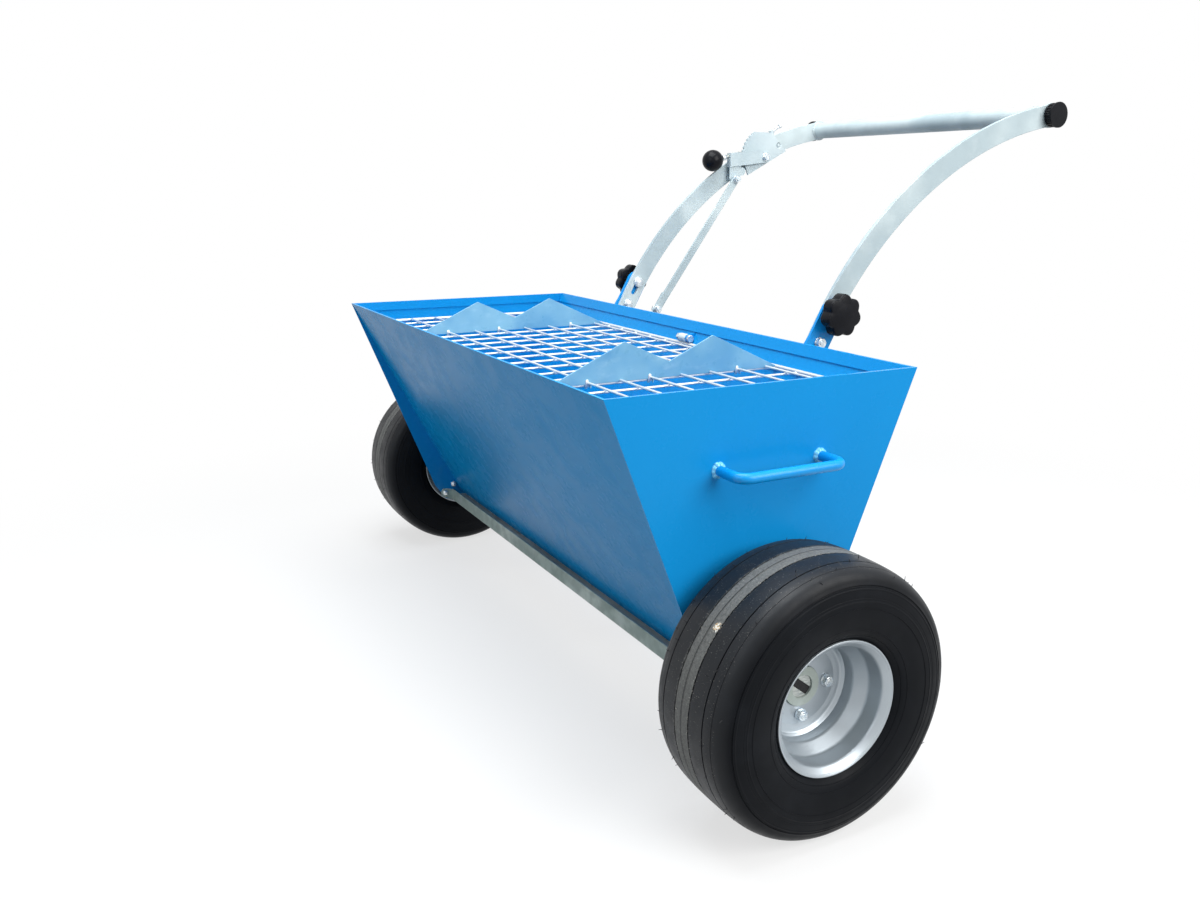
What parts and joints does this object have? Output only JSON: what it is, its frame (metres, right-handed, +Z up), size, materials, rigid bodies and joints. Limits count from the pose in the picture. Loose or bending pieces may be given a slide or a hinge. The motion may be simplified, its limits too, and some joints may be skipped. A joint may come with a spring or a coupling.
{
  "type": "box spreader",
  "caption": "Walk-behind box spreader with a blue V-shaped hopper, wire grate with bag cutters, two pneumatic tyres, curved handle and shutter lever",
  "frame": {"origin": "middle of the object's box at ground level", "axes": "+X along the hopper to the driven wheel, +Y to the handle, +Z up"},
  "size_m": [1.828, 1.3032, 1.203],
  "materials": {
    "blue_coat": "glossy blue powder coat on sheet steel",
    "galvanised": "hot-dip galvanised, pale and slightly mottled",
    "zinc_bolts": "bright zinc plate",
    "bright_steel": "plain ground steel",
    "black_plastic": "moulded black plastic, half matt",
    "tyre_rubber": "black rubber, grey where it has rolled",
    "silver_paint": "silver-grey paint on pressed steel",
    "black_iron": "black, slightly rough",
    "roller_rubber": "black ribbed rubber"
  },
  "bodies": {
    "hopper": {"front_sheet": "blue_coat", "rear_sheet": "blue_coat", "left_end_plate": "blue_coat", "right_end_plate": "blue_coat", "front_strip": "galvanised", "strip_bolts": "zinc_bolts", "left_lift_handle": "blue_coat", "right_lift_handle": "blue_coat", "grate_lug": "blue_coat", "grate_bolt": "zinc_bolts", "left_arm_bracket": "blue_coat", "right_arm_bracket": "blue_coat", "knob_bolts": "zinc_bolts", "arm_bolts": "zinc_bolts", "left_housing": "black_iron", "right_housing": "black_iron", "bearings": "bright_steel", "housing_bolts": "zinc_bolts", "shutter_lugs": "blue_coat", "stand_legs": "blue_coat", "stand_foot": "blue_coat", "stand_bolts": "zinc_bolts"},
    "grate": {"grate_mesh": "galvanised", "grate_border": "galvanised", "left_bag_cutter": "blue_coat", "right_bag_cutter": "blue_coat", "grate_bush": "galvanised"},
    "drive_axle": {"axle_shaft": "bright_steel", "drive_key": "black_iron", "feed_roller": "roller_rubber", "right_tyre": "tyre_rubber", "right_rim": "silver_paint", "right_hub": "galvanised", "right_wheel_bolts": "zinc_bolts", "left_collar": "bright_steel"},
    "left_wheel": {"left_tyre": "tyre_rubber", "left_rim": "silver_paint", "left_hub": "galvanised", "left_wheel_bolts": "zinc_bolts"},
    "handle": {"left_arm": "galvanised", "right_arm": "galvanised", "cross_tube": "galvanised", "tube_plugs": "black_plastic", "quadrant": "galvanised", "quadrant_screw": "zinc_bolts", "quadrant_bolt": "zinc_bolts", "lever_bolt": "zinc_bolts"},
    "left_knob": {"left_star_knob": "black_plastic"},
    "right_knob": {"right_star_knob": "black_plastic"},
    "lever": {"lever_bracket": "galvanised"},
    "latch": {"latch_pin": "bright_steel", "latch_nut": "zinc_bolts", "ball_knob": "black_plastic", "latch_spring": "bright_steel"},
    "link": {"link_bar": "galvanised", "link_bolts": "zinc_bolts"},
    "rod": {"link_rod": "galvanised"},
    "shutter_flap": {"shutter": "galvanised", "shutter_rod": "bright_steel", "shutter_crank": "galvanised"}
  },
  "joints": [
    {"name": "grate_tilt", "type": "hinge", "parent": "hopper", "child": "grate", "pos_m": [0, -0.06263, 0.6825], "axis": [1, 0, 0], "range_deg": [-95, 0]},
    {"name": "axle_spin", "type": "hinge", "parent": "hopper", "child": "drive_axle", "pos_m": [0, -0.34063, 0.234], "axis": [1, 0, 0], "continuous": true},
    {"name": "left_wheel_spin", "type": "hinge", "parent": "drive_axle", "child": "left_wheel", "pos_m": [-0.814, -0.34063, 0.234], "axis": [1, 0, 0], "continuous": true},
    {"name": "handle_height", "type": "slide", "parent": "hopper", "child": "handle", "axis": [0, 0.4756, 0.8796], "range_m": [0, 0.03]},
    {"name": "left_knob_turn", "type": "hinge", "parent": "hopper", "child": "left_knob", "pos_m": [-0.41, 0.03735, 0.77459], "axis": [1, 0, 0], "range_deg": [0, 360]},
    {"name": "right_knob_turn", "type": "hinge", "parent": "hopper", "child": "right_knob", "pos_m": [0.41, 0.03735, 0.77459], "axis": [1, 0, 0], "range_deg": [0, 360]},
    {"name": "lever_swing", "type": "hinge", "parent": "handle", "child": "lever", "pos_m": [-0.372, 0.42537, 1.101], "axis": [1, 0, 0], "range_deg": [-36, 0]},
    {"name": "latch_pull", "type": "slide", "parent": "lever", "child": "latch", "axis": [0, -0.974, -0.2267], "range_m": [0, 0.008], "stiffness_N_per_m": 1500, "springref_m": -0.004, "deforming": ["latch_spring"]},
    {"name": "link_swing", "type": "hinge", "parent": "lever", "child": "link", "pos_m": [-0.3565, 0.32387, 1.041], "axis": [1, 0, 0], "range_deg": [0, 41.3]},
    {"name": "rod_adjust", "type": "slide", "parent": "link", "child": "rod", "axis": [0, 0.5341, 0.8454], "range_m": [-0.03, 0]},
    {"name": "shutter_swing", "type": "hinge", "parent": "hopper", "child": "shutter_flap", "pos_m": [0, -0.27863, 0.205], "axis": [1, 0, 0], "range_deg": [0, 46.5]}
  ],
  "couplings": [
    {"joint": "link_swing", "follows": "lever_swing", "ratio": -1.1447},
    {"joint": "shutter_swing", "follows": "lever_swing", "ratio": -1.2885},
    {"joint": "rod_adjust", "follows": "handle_height", "ratio": -1}
  ]
}
